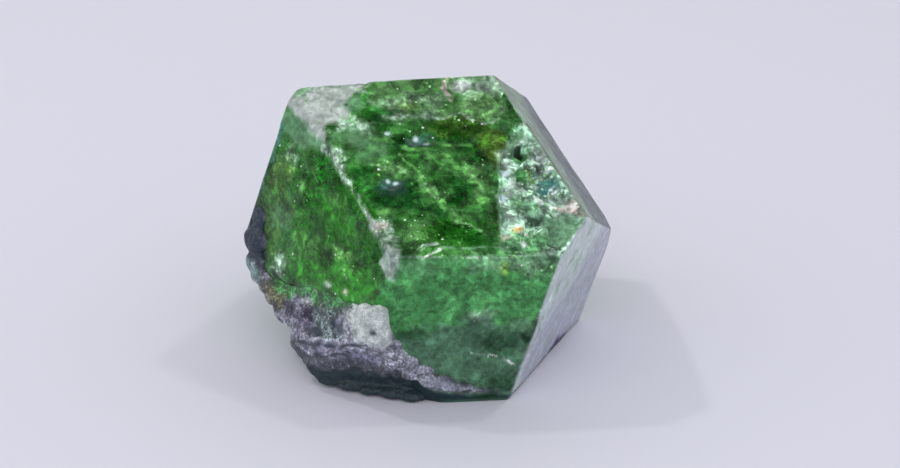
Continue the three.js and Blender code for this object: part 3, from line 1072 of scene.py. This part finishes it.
def crystal_material():
    nodes = Nodes("garnet")
    grain = nodes.mask("grain")
    facet = nodes.parts(nodes.cells(0.5, 0.9, output="Color"))[0]
    shard = nodes.parts(nodes.cells(0.2, 0.9, output="Color"))[0]
    flow = nodes.ramp(nodes.noise(0.45, 4, 0.55, 0.8), 0.3, 0.7)
    speckle = nodes.ramp(nodes.noise(0.09, 4, 0.7), 0.32, 0.68)
    patches = nodes.ramp(nodes.noise(1.1, 3, 0.6, 0.6), 0.35, 0.65)
    # The film's own colour, uneven by its grain, with the facets' rims lighter
    tone = nodes.maths("SUBTRACT", nodes.total(facet, shard, flow, patches), 2.0)
    uneven = nodes.maths("EXPONENT", nodes.product(grain, tone))
    borders = nodes.ramp(nodes.cells(0.5, 0.9, "DISTANCE_TO_EDGE"), 0.05, 0.0)
    rims = nodes.product(borders, grain, patches)
    film = nodes.scaled(nodes.colour("film"), uneven)
    film = nodes.mix(nodes.product(rims, 0.4), film, RIM_COLOUR)
    # How much of the clear stone it covers
    thinned = nodes.total(nodes.product(speckle, 0.2), nodes.product(flow, 0.8), -0.45)
    cover = nodes.total(1.0, nodes.product(grain, thinned))
    cover = nodes.product(nodes.mask("cover"), cover)
    cover = nodes.maths("ADD", cover, nodes.product(rims, 0.3), True)
    # Painted glints in a light colour cover the film and the clear stone
    painted_glint, light = painted_glint_layer(nodes)
    cover = nodes.maths("MAXIMUM", cover, painted_glint)
    # One colour serves film and clear stone, so a thin film is given more weight in it
    weight = nodes.maths("DIVIDE", cover, nodes.total(nodes.product(cover, 0.85), 0.15))
    uneven_tint = nodes.ramp(nodes.total(patches, flow), 0.3, 1.7, 0.5, 1.25)
    clear = nodes.scaled(nodes.colour("tint"), uneven_tint)
    ripple = nodes.blend(cover, 0.004, nodes.product(nodes.total(grain, 0.2), 0.03))
    nodes.set(
        Base_Color=nodes.mix(painted_glint, nodes.mix(weight, clear, film), light),
        Transmission_Weight=nodes.maths("SUBTRACT", 1.0, cover, True),
        Roughness=nodes.blend(cover, 0.03, nodes.mask("rough")),
        IOR=GARNET_IOR,
        Specular_Tint=GARNET_SHEEN,
        Normal=nodes.bump(nodes.noise(0.3, 3), ripple),
    )
    nodes.absorb(BODY_COLOUR, BODY_DENSITY)
    return nodes.material


# ---- flaws sealed in the crystal ----

# How wide a crack is, and the two colours that it lies between
CRACK_WIDTH = 0.03
CRACK_COLOURS = ((0.25, 0.75, 0.2, 1), (0.6, 0.95, 0.5, 1))
# A crack is a disc of so many sectors and rings
SECTORS = 14
RINGS = 4
# How far the cracks and the flecks keep under the real surface
CRACK_MARGIN = 0.15
FLECK_MARGIN = 0.13
# Places under P and Q: how far to each side of the face's middle, and the least and the most depth
UNDER_REACH = 6
UNDER_DEPTHS = (0.3, 2.5)
# How many flecks there are to a square millimetre where all of the surface is painted with
# glints, how many corners each one has, their least and greatest depth and size, and the two
# colours between which each has its own
FLECKS_PER_AREA = 120
FLECK_CORNERS = 8
FLECK_DEPTHS = (0.12, 1.2)
FLECK_SIZES = (0.03, 0.12)
FLECK_COLOURS = ((0.8, 0.9, 0.45, 1), (0.92, 0.97, 0.95, 1))

# The kinds of crack: how many, whether they lie just under the faces that show, least and
# greatest radius, and least and greatest tone. Below half, a tone is a veil of mineral dust, and
# above it an open crack that shines.
CRACKS = [
    (50, False, 1.2, 3.0, 0.05, 0.2),
    (120, False, 0.4, 1.3, 0.2, 0.45),
    (160, False, 0.25, 0.8, 0.55, 1.0),
    (130, True, 0.4, 1.4, 0.1, 0.4),
    (300, True, 0.06, 0.3, 0.6, 1.0),
]


def unit(vector):
    return vector / np.linalg.norm(vector)


def disc_triangles():
    """The triangles of a disc of SECTORS and RINGS, from its middle out."""
    ring = np.arange(SECTORS)
    following = (ring + 1) % SECTORS
    sheets = [np.stack([np.zeros(SECTORS, int), 1 + ring, 1 + following], axis=1)]
    for step in range(RINGS - 1):
        a, b = 1 + step * SECTORS + ring, 1 + step * SECTORS + following
        sheets += [np.stack([a, a + SECTORS, b + SECTORS], 1), np.stack([a, b + SECTORS, b], 1)]
    return np.concatenate(sheets)


def ragged_disc(centre, normal, radius, random):
    """The points of a bowed sheet with a ragged outline, from its middle out."""
    side = unit(np.cross(normal, random.normal(size=3)))
    other = np.cross(normal, side) * random.uniform(0.4, 1.0)
    turns = np.arange(SECTORS) * 2 * math.pi / SECTORS
    outline = 1 + 0.25 * np.sin(turns * 2 + random.uniform(0, 6))
    outline += random.uniform(-0.2, 0.2, SECTORS)
    bow = random.uniform(-0.15, 0.15)
    rows = [centre[None, :]]
    for part in np.arange(1, RINGS + 1) / RINGS:
        lift = bow * part**2 + 0.05 * np.sin(3 * turns + 5 * part)
        row = np.cos(turns)[:, None] * side + np.sin(turns)[:, None] * other
        rows.append(centre + radius * (row * (part * outline)[:, None] + lift[:, None] * normal))
    return np.vstack(rows)


def kept_inside(points, margin):
    """The points, moved in where they are less than margin under the crystal's real surface."""
    points = points.copy()
    for face in crystal_faces:
        height = face.height(points)
        close = height > -(MOST_RELIEF + margin)
        foot = points[close] - height[close, None] * face.normal
        out = height[close] + relief(foot) + margin
        points[close] -= np.clip(out, 0, None)[:, None] * face.normal
    return points


def joined(shapes):
    """One mesh of many: a list of points, triangles and a tone each."""
    starts = np.cumsum([0] + [len(shape[0]) for shape in shapes])
    points = np.vstack([shape[0] for shape in shapes])
    triangles = np.vstack([shape[1] + start for shape, start in zip(shapes, starts)])
    tones = np.concatenate([np.full(len(shape[0]), shape[2]) for shape in shapes])
    return points, triangles, tones


def places_inside(count, margin, random):
    """Places spread evenly through the crystal, no nearer to its surface than margin."""
    low = np.min([face.corners.min(axis=0) for face in crystal_faces], axis=0)
    high = np.max([face.corners.max(axis=0) for face in crystal_faces], axis=0)
    places = random.uniform(low, high, (40 * count, 3))
    return places[highest(crystal_faces, places) < -margin][:count]


def mostly_least(least, most, random):
    """A random number between two, more often near the least."""
    return least + (most - least) * random.uniform() ** 2


def places_under(count, random):
    """Places under P and Q, most of them near."""
    places = np.array([
        face.at(*random.uniform(-UNDER_REACH, UNDER_REACH, 2), mostly_least(*UNDER_DEPTHS, random))
        for _ in range(4 * count)
        for face in (P, Q)
    ])
    return places[highest(crystal_faces, places) < -0.25][:count]


def make_cracks():
    random = np.random.default_rng(SEED)
    sheets = []
    for count, shallow, least, most, low, high in CRACKS:
        places = places_under(count, random) if shallow else places_inside(count, 0.35, random)
        for centre in places:
            normal = unit(random.normal(size=3))
            if shallow and most > 1:
                normal = unit(np.cross(STREAK_LINE, normal))
            sheet = ragged_disc(centre, normal, random.uniform(least, most), random)
            sheets.append((sheet, normal, random.uniform(low, high)))
    tops = kept_inside(np.vstack([sheet[0] for sheet in sheets]), CRACK_MARGIN)
    tops = tops.reshape(len(sheets), -1, 3)
    count = tops.shape[1]
    rim = np.arange(count) >= count - SECTORS
    under = np.where(rim, np.arange(count), count + np.arange(count))
    pattern = disc_triangles()
    triangles = np.vstack([pattern, under[pattern[:, ::-1]]])
    shapes = []
    for top, (_, normal, tone) in zip(tops, sheets):
        shapes.append((np.vstack([top, top[~rim] - CRACK_WIDTH * normal]), triangles, tone))
    points, triangles, tones = joined(shapes)
    return add_mesh("cracks", points, triangles, {"tone": tones})


def crack_material():
    nodes = Nodes("crack")
    tone = nodes.mask("tone")
    cloud = nodes.noise(0.5, 4, 0.65, 1.0)
    thick = nodes.ramp(cloud, 0.4, 0.62, 0.0, 0.75)
    shine = nodes.ramp(tone, 0.48, 0.5)
    nodes.set(
        Base_Color=nodes.mix(nodes.noise(0.3), *CRACK_COLOURS),
        Metallic=shine,
        Roughness=0.2,
        Alpha=nodes.blend(nodes.ramp(tone, 0.2, 0.3), nodes.maths("MULTIPLY", thick, 0.5), thick),
    )
    return nodes.material


def taken_from(shape):
    """The points, their normals and the triangles of a bmesh, which is freed."""
    points = np.array([corner.co[:] for corner in shape.verts])
    normals = np.array([corner.normal[:] for corner in shape.verts])
    triangles = np.array([[corner.index for corner in face.verts] for face in shape.faces])
    shape.free()
    return points, normals, triangles


def hull(corners):
    """The triangles of the convex hull of a few points, facing out."""
    shape = bmesh.new()
    made = [shape.verts.new(corner) for corner in corners]
    for number, corner in enumerate(made):
        corner.index = number
    bmesh.ops.convex_hull(shape, input=made)
    bmesh.ops.triangulate(shape, faces=shape.faces)
    return taken_from(shape)[2]


def make_flecks():
    """Small pale grains just under the faces that show most."""
    random = np.random.default_rng(SEED + 1)
    spread = [(face, 0, 0, 3.4, 0.1) for face in (P, Q, R)]
    places = []
    for face, u, v, reach, share in PAINTED_SPARKLES + spread:
        count = round(FLECKS_PER_AREA * share * reach**2)
        for across, up in random.normal(0, 0.5 * reach, (count, 2)):
            places.append(face.at(u + across, v + up, random.uniform(*FLECK_DEPTHS)))
    places = np.array(places)
    places = kept_inside(places[highest(crystal_faces, places) < -0.1], FLECK_MARGIN)
    shapes = []
    for place in places:
        size = mostly_least(*FLECK_SIZES, random)
        spikes = [unit(random.normal(size=3)) * random.uniform(0.6, 1.3) for _ in range(FLECK_CORNERS)]
        corners = place + size * np.array(spikes)
        shapes.append((corners, hull(corners), random.uniform(0, 1)))
    points, triangles, tones = joined(shapes)
    return add_mesh("flecks", points, triangles, {"tone": tones}, smooth=False)


def fleck_material():
    nodes = Nodes("fleck")
    nodes.set(
        Base_Color=nodes.mix(nodes.mask("tone"), *FLECK_COLOURS),
        Roughness=0.3,
    )
    return nodes.material


# ---- the host rock ----

rock_faces = flat_faces("host_rock")
# The face that meets the crystal, and how far the rock goes on past it into the crystal's corner
CONTACT = facing(rock_faces, 45, 20)
ROOT_DEPTH = 0.5
ROCK_VOXEL = 0.09
# The grain of felspar stands out a little, as a rounded block
GRAIN = R.at(-3.3, 0.6)
GRAIN_RADII = (0.5, 1.02, 0.28)
GRAIN_ROUNDNESS = 0.5
# The rock doesn't reach down to the floor
ROCK_FOOT = 0.05
# The colours of its pale and its black grains
PALE_GRAINS = (0.5, 0.5, 0.58, 1)
BLACK_GRAINS = (0.02, 0.025, 0.035, 1)

# Lumps of rock: the face, the place on it and the depth under it, and the lump's radii along the
# face, up it and through it
LUMPS = [
    (Q, -3.75, -1.45, 0, 0.65, 0.6, 0.3),
    (Q, -3.7, -2.55, 0, 1.0, 0.75, 0.36),
    (Q, -3.3, -3.6, 0, 0.7, 0.55, 0.28),
    (Q, -2.8, -4.2, 0, 0.65, 0.5, 0.24),
    (Q, -2.1, -4.55, 0, 0.9, 0.45, 0.16),
    (Q, -1.3, -4.95, 0, 0.9, 0.5, 0.2),
    (Q, -0.4, -5.5, 0, 0.9, 0.5, 0.2),
    (Q, -0.6, -5.0, 0, 0.9, 0.5, 0.2),
    (Q, 0.5, -4.8, 0, 0.9, 0.5, 0.2),
    (Q, 1.7, -4.5, 0, 0.9, 0.5, 0.2),
    (Q, 3.0, -4.2, 0, 0.9, 0.45, 0.2),
    (Q, 4.6, -4.2, 0, 0.8, 0.7, 0.2),
    (Q, 5.45, -3.75, 0, 0.8, 0.9, 0.24),
    (R, -2.3, -1.4, 0, 0.9, 0.5, 0.1),
    (R, -1.5, -2.0, 0, 0.9, 0.45, 0.09),
    (R, -0.6, -2.5, 0, 0.9, 0.4, 0.08),
    (R, 0.4, -2.85, 0, 0.9, 0.3, 0.07),
    (R, -1.0, -2.15, 0, 0.4, 0.3, 0.12),
    (R, -0.1, -2.5, 0, 0.4, 0.25, 0.09),
    (R, 0.9, -2.85, 0, 0.35, 0.2, 0.08),
    (R, 1.4, -3.05, 0, 0.45, 0.15, 0.06),
    # Low lumps under the rock's overhang, painted as shade: they stand in for its shadow
    (R, -5.4, -3.4, 2.5, 0.8, 0.3, 0.6),
    (R, -4.5, -3.4, 1.9, 0.8, 0.3, 0.6),
    (R, -3.5, -3.4, 1.4, 0.8, 0.3, 0.6),
    (R, -2.5, -3.4, 0.9, 0.8, 0.3, 0.6),
    (R, -1.7, -3.45, 0.5, 0.7, 0.3, 0.5),
]

# The rock's own colours, and where they lie on it, as in AREAS and LINES
ROCK_FILMS = {
    "purple": ((0.03, 0.024, 0.06), 0.9, 0.6),
    "green grey": ((0.11, 0.155, 0.15), 1.3, 0.6),
    "wisp": ((0.36, 0.37, 0.45), 0.9, 0.6),
    "lilac": ((0.17, 0.17, 0.25), 0.7, 0.5),
    "lip": ((0.08, 0.088, 0.11), 0.7, 0.5),
    "blue black": ((0.018, 0.032, 0.055), 0.3, 0.45),
    "glass": ((0.16, 0.24, 0.24), 0.7, 0.3),
    "soil": ((0.1, 0.1, 0.055), 1.0, 0.7),
    "felspar": ((0.54, 0.59, 0.58), 0.35, 0.6),
    "garnet": ((0.05, 0.22, 0.06), 1.0, 0.3),
}
FILMS.update(ROCK_FILMS)
ROCK_AREAS = [
    ("blue black", 1.0, Q, 0.2, [
        (-6.0, 0.0), (-3.4, -0.8), (-2.9, -2.0), (-2.7, -3.3), (-3.6, -3.6), (-6.0, -3.0),
    ]),
    ("glass", 0.95, Q, 0.3, [(-5.0, -3.2), (-3.2, -3.5), (-2.5, -4.2), (-2.6, -5.6), (-5.0, -5.0)]),
    # A painted white glint on the rock
    ("snow", 0.9, Q, 0.15, (-2.8, -4.7, 0.16, 0.16)),
    ("soil", 0.95, Q, 0.4, (-1.4, -4.7, 1.0, 0.9)),
    ("blue black", 0.8, Q, 0.2, (-1.5, -5.5, 0.4, 0.25)),
    ("wisp", 0.7, Q, 0.4, (0.8, -4.2, 0.9, 0.25)),
    ("wisp", 0.7, Q, 0.4, (0.1, -5.85, 0.6, 0.35)),
    ("green grey", 0.8, Q, 0.6, (1.6, -4.6, 1.6, 0.7)),
    ("green grey", 1.0, Q, 0.4, (3.2, -4.6, 1.5, 1.0)),
    ("garnet", 0.95, Q, 0.25, [
        (-2.0, -3.6), (6.3, -2.4), (6.0, -3.0), (4.6, -3.45), (2.9, -3.9), (1.3, -4.2), (-0.3, -4.6),
        (-1.4, -4.5),
    ]),
    ("purple", 1.0, Q, 0.5, (1.15, -5.0, 0.75, 0.85)),
    ("purple", 0.8, Q, 0.5, (0.3, -4.85, 0.5, 0.5)),
    ("wisp", 0.7, Q, 0.4, (0.75, -4.35, 0.8, 0.18)),
    ("wisp", 0.5, Q, 0.4, (0.7, -4.75, 0.12, 0.4)),
    ("snow", 0.7, Q, 0.15, (1.2, -4.2, 0.22, 0.1)),
    ("blue black", 1.0, Q, 0.2, (3.9, -4.5, 0.4, 0.3)),
    ("blue black", 0.9, Q, 0.2, (2.6, -5.3, 0.4, 0.3)),
    ("blue black", 0.8, Q, 0.2, (2.4, -4.4, 0.25, 0.2)),
    ("blue black", 0.9, Q, 0.2, (4.1, -3.85, 0.25, 0.15)),
    ("wisp", 0.7, Q, 0.5, (4.7, -4.2, 0.5, 0.8)),
    ("lilac", 0.9, Q, 0.4, (3.4, -5.9, 2.4, 0.5)),
    ("lilac", 0.8, R, 0.4, (-0.6, -2.3, 2.4, 0.9)),
    ("wisp", 0.7, R, 0.6, (-1.2, -1.6, 1.6, 0.5)),
    ("wisp", 0.8, R, 0.6, (0.1, -2.5, 1.6, 0.3)),
    ("blue black", 0.7, R, 0.3, (-1.9, -1.8, 0.4, 0.2)),
]
ROCK_LINES = [
    ("wisp", 1.0, Q, 0.08, [(1.5, -5.9), (2.7, -5.6), (3.9, -5.3), (5.1, -4.9), (6.2, -4.6)]),
    ("wisp", 0.9, Q, 0.06, [(3.5, -6.1), (4.4, -5.6), (5.6, -5.1), (6.2, -5.1)]),
    ("wisp", 0.8, Q, 0.06, [(0.6, -5.7), (1.6, -6.3), (2.6, -6.5)]),
    ("blue black", 0.8, Q, 0.06, [(1.4, -6.1), (2.8, -5.9), (4.4, -5.4), (5.8, -4.8)]),
    ("blue black", 0.9, Q, 0.07, [(2.9, -6.4), (3.9, -6.05), (4.6, -5.9)]),
]
# The grain of felspar where it shows on each of the two faces, and its pit, painted dark as shade
FELSPAR = [
    (0.85, Q, 0.4, [(4.4, -3.7), (5.1, -3.0), (6.3, -2.7), (6.2, -4.4), (5.5, -4.6), (4.8, -4.4)]),
    (0.97, R, 0.12, [
        (-4.6, 1.6), (-3.9, 1.8), (-3.0, 1.85), (-2.65, 1.5), (-2.7, 0.3), (-2.8, -0.3), (-3.3, -0.5),
        (-4.3, -0.1),
    ]),
]
GRAIN_PIT = (-3.6, 0.33, 0.15, 0.13)
# The heights under which the rock is grey, and under which it is dark
LIP_TOP = 1.9
UNDER_TOP = 1.3


def ball(centre, radii, tilt, roundness=1.0):
    """The points and triangles of a ball with three radii along a face's axes.

    A lower roundness makes it less of a ball and more of a block.
    """
    shape = bmesh.new()
    bmesh.ops.create_icosphere(shape, subdivisions=3, radius=1)
    points, _, triangles = taken_from(shape)
    points = np.sign(points) * np.abs(points) ** roundness * np.array(radii)
    return points @ np.stack([tilt.u, tilt.v, tilt.normal]) + centre, triangles


def wedge():
    """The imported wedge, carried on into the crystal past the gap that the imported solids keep."""
    corners = np.unique(np.round(np.vstack([face.corners for face in rock_faces]), 3), axis=0)
    on_contact = np.abs(CONTACT.height(corners)) < 0.01
    corners = corners + np.outer(on_contact * ROOT_DEPTH, CONTACT.normal)
    return corners, hull(corners)


def remeshed(points, triangles, voxel):
    """One skin round all the solids of a mesh: its points, their normals and its triangles."""
    rough = add_mesh("rough", points, triangles)
    remesh = rough.modifiers.new("remesh", "REMESH")
    remesh.mode = "VOXEL"
    remesh.voxel_size = voxel * MM
    seen = rough.evaluated_get(bpy.context.evaluated_depsgraph_get())
    skin = bpy.data.meshes.new_from_object(seen)
    shape = bmesh.new()
    shape.from_mesh(skin)
    bmesh.ops.triangulate(shape, faces=shape.faces)
    all_axes = {"use_axis_" + axis: True for axis in "xyz"}
    bmesh.ops.smooth_vert(shape, verts=shape.verts, factor=0.5, **all_axes)
    points, normals, triangles = taken_from(shape)
    bpy.data.objects.remove(rough)
    return points / MM, normals, triangles


def pressed(mask, points, face, *shape):
    """The mask of a shape on a face, carried over to rock up to 2.5 mm from the face."""
    height = face.height(points)
    near = np.clip(2.5 - np.abs(height), 0, 1)
    return near * mask(points - np.outer(height, face.normal), face, *shape)


def rock_surface(points, ledges):
    surface = Surface(len(points), "crust")
    surface.lay("crust", np.ones(len(points)))
    surface.lay("purple", 0.8 * smoothstep(0.1, 0.6, fractal(points, 1.1, 71)))
    surface.lay("wisp", 0.6 * smoothstep(0.4, 0.8, fractal(points, 0.8, 72)))
    for number, (name, amount, face, ragged, place) in enumerate(ROCK_AREAS):
        surface.lay(name, amount * pressed(place_mask, points, face, place, ragged, 73 + number))
    height = points[:, 2] + 0.25 * fractal(points, 0.7, 85)
    surface.lay("wisp", 0.5 * smoothstep(0.25, 0.0, ledges) * smoothstep(3.6, 2.6, points[:, 2]))
    surface.lay("lip", smoothstep(LIP_TOP + 0.3, LIP_TOP - 0.2, height))
    for name, amount, face, width, path in ROCK_LINES:
        surface.lay(name, amount * pressed(line_mask, points, face, width, path))
    surface.lay("shade", smoothstep(UNDER_TOP + 0.1, UNDER_TOP - 0.1, height))
    for number, (amount, face, ragged, place) in enumerate(FELSPAR):
        mask = pressed(place_mask, points, face, place, ragged, 100 + number)
        surface.lay("felspar", amount * mask)
    crust = R.near(points, 0.6) * pressed(place_mask, points, R, CRUST, 0.3, 103)
    surface.lay("wisp", 0.75 * crust)
    # The pit in the grain is painted darker, as shade
    surface.lay("lip", pressed(place_mask, points, R, GRAIN_PIT, 0.02, 102))
    return surface


def rock_relief(points, ledges):
    """How far the rock's surface stands out from the smooth skin, at points on it."""
    height = points[:, 2]
    nearest, second, _, chance = cells(points, 0.5, 61)
    joints = 1 - smoothstep(0.0, 0.12, second - nearest)
    rough = 1 - smoothstep(-2.4, -3.2, Q.uv(points)[:, 0])
    low = smoothstep(4.2, 3.0, height) * smoothstep(0.8, 2.2, height)
    relief = (0.07 * (chance - 0.5) - 0.03 * joints) * rough
    relief += 0.16 * fractal(points, 1.8, 63, 4) * smoothstep(0.6, 1.6, height)
    relief += 0.16 * (ledges - 0.3) * low * rough
    grain = 1 - smoothstep(1.0, 1.4, np.linalg.norm(points - GRAIN, axis=1))
    pit = 1 - smoothstep(0.08, 0.2, np.linalg.norm(R.uv(points) - GRAIN_PIT[:2], axis=1))
    return relief * (1 - 0.8 * grain) + grain * (0.04 * fractal(points, 0.6, 69) - 0.1 * pit)


def make_rock():
    solids = [(*wedge(), 0), (*ball(GRAIN, GRAIN_RADII, R, GRAIN_ROUNDNESS), 0)]
    for face, u, v, depth, *radii in LUMPS:
        solids.append((*ball(face.at(u, v, depth), radii, face), 0))
    points, triangles, _ = joined(solids)
    points, normals, triangles = remeshed(points, triangles, ROCK_VOXEL)
    ledges = np.abs(noise(points * np.array([0.35, 0.35, 1.6]), 0.6, 67))
    shaped = points + normals * rock_relief(points, ledges)[:, None]
    shaped[:, 2] = np.maximum(shaped[:, 2], ROCK_FOOT)
    return add_mesh("rock", shaped, triangles, vars(rock_surface(points, ledges)))


def rock_material():
    nodes = Nodes("gneiss")
    grain = nodes.mask("grain")
    mottle = nodes.ramp(nodes.noise(0.6, 6, 0.7, 0.3), 0.32, 0.68)
    speckle = nodes.ramp(nodes.noise(0.12, 4, 0.65), 0.34, 0.66)
    tone = nodes.total(nodes.product(mottle, 0.5), nodes.product(speckle, 0.5), -0.5)
    base = nodes.scaled(nodes.colour("film"), nodes.maths("EXPONENT", nodes.product(grain, tone, 3.0)))
    pale = nodes.ramp(nodes.noise(0.2, 4, 0.75, 0.5), 0.59, 0.64)
    base = nodes.mix(nodes.product(pale, grain, 0.65), base, PALE_GRAINS)
    black = nodes.ramp(nodes.noise(0.3, 4, 0.75, 0.5), 0.42, 0.37)
    base = nodes.mix(nodes.product(black, grain, 0.8), base, BLACK_GRAINS)
    nodes.set(
        Base_Color=base,
        Roughness=nodes.ramp(speckle, 0.0, 1.0, 0.35, 0.75),
        Normal=nodes.bump(nodes.noise(0.1, 3), 0.04),
    )
    return nodes.material


# ---- the scene ----


def finish_piece(piece, material, slot, *nodes_replaced):
    """Gives a piece its material and its body, and hides the CAD nodes it stands for.

    Its slot is not used.
    """
    piece.data.materials.append(material)
    if nodes_replaced:
        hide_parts(*nodes_replaced)
    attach(piece, "root")


add_camera()
add_world()
add_floor()
for name, values in LAMPS.items():
    add_lamp(name, *values)

scene = bpy.context.scene
scene.view_settings.view_transform = "Standard"
# Light has to get through the many cracks in the crystal
scene.cycles.max_bounces = 16
scene.cycles.transmission_bounces = 16
scene.cycles.transparent_max_bounces = 32

finish_piece(make_crystal(), crystal_material(), "garnet", "garnet_crystal")
finish_piece(make_cracks(), crack_material(), "garnet")
finish_piece(make_flecks(), fleck_material(), "garnet")
finish_piece(make_rock(), rock_material(), "rock", "host_rock")
